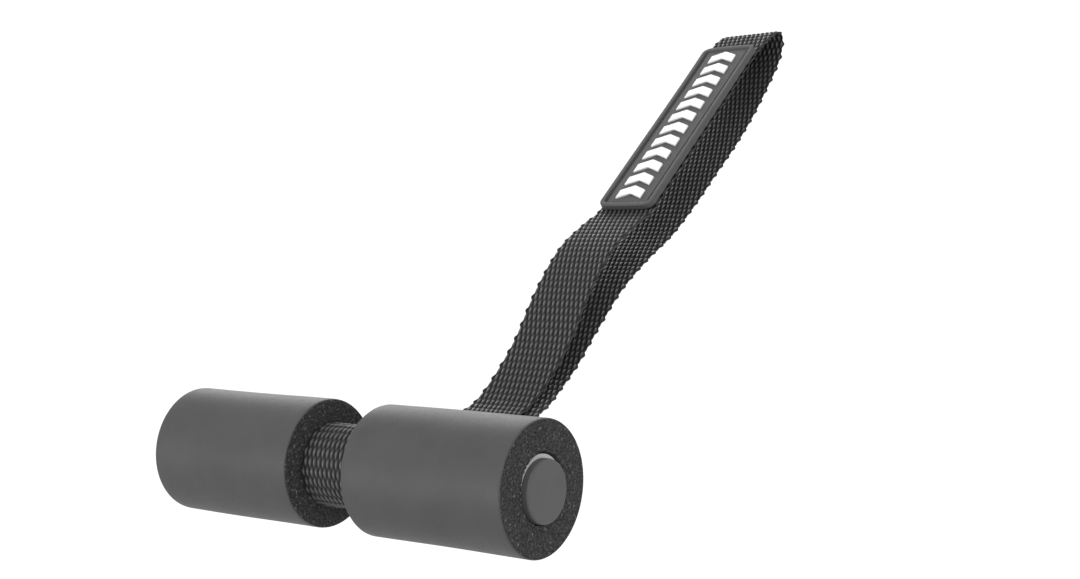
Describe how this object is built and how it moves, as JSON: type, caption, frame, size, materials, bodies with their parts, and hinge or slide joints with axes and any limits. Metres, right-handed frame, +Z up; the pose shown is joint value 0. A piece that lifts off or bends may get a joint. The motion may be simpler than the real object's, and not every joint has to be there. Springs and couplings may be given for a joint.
{
  "type": "tie-down anchor strap",
  "caption": "Foam-padded bar with a sewn webbing loop round its middle, shut behind a panel so that the loop outside anchors a tie-down.",
  "frame": {"origin": "on the foam sleeves' common axis, half way between the two sleeves", "axes": "+X along the bar to the right, +Y level from the bar towards the folded end of the loop, +Z up from the surface that it lies on"},
  "size_m": [0.1638, 0.3498, 0.0801],
  "materials": {
    "tube_plastic": "smooth pale grey rigid plastic tube",
    "plug_plastic": "mid-grey moulded plastic, satin",
    "foam": "mid-grey closed-cell foam, satin skin, cut cells at the ends",
    "webbing": "black woven polypropylene webbing",
    "thread": "black bonded polyester thread",
    "badge_rubber": "dark grey moulded soft rubber, matte",
    "motif_rubber": "white moulded soft rubber, matte"
  },
  "bodies": {
    "bar": {"core_tube": "tube_plastic", "end_plug_left": "plug_plastic", "end_plug_right": "plug_plastic"},
    "left_sleeve": {"foam_sleeve_left": "foam"},
    "right_sleeve": {"foam_sleeve_right": "foam"},
    "loop_root": {"webbing_inner_wrap": "webbing", "webbing_outer_wrap": "webbing", "neck_stitching": "thread", "webbing_front_leg_root": "webbing", "webbing_back_leg_root": "webbing", "webbing_front_leg_flex": "webbing", "webbing_back_leg_flex": "webbing"},
    "loop_tip": {"webbing_front_leg_tip": "webbing", "webbing_end_fold": "webbing", "webbing_back_leg_tip": "webbing", "badge_base": "badge_rubber", "badge_motif": "motif_rubber", "badge_stitching": "thread"}
  },
  "joints": [
    {"name": "left_sleeve_spin", "type": "hinge", "parent": "bar", "child": "left_sleeve", "pos_m": [0, 0, 0], "axis": [1, 0, 0], "continuous": true},
    {"name": "right_sleeve_spin", "type": "hinge", "parent": "bar", "child": "right_sleeve", "pos_m": [0, 0, 0], "axis": [1, 0, 0], "continuous": true},
    {"name": "loop_swing", "type": "hinge", "parent": "bar", "child": "loop_root", "pos_m": [0, -0.00033, 0.00012], "axis": [1, 0, 0], "continuous": true},
    {"name": "loop_flex", "type": "hinge", "parent": "loop_root", "child": "loop_tip", "pos_m": [0, 0.147, 0.002], "axis": [1, 0, 0], "range_deg": [-60, 75], "deforming": ["webbing_front_leg_flex", "webbing_back_leg_flex"]}
  ]
}
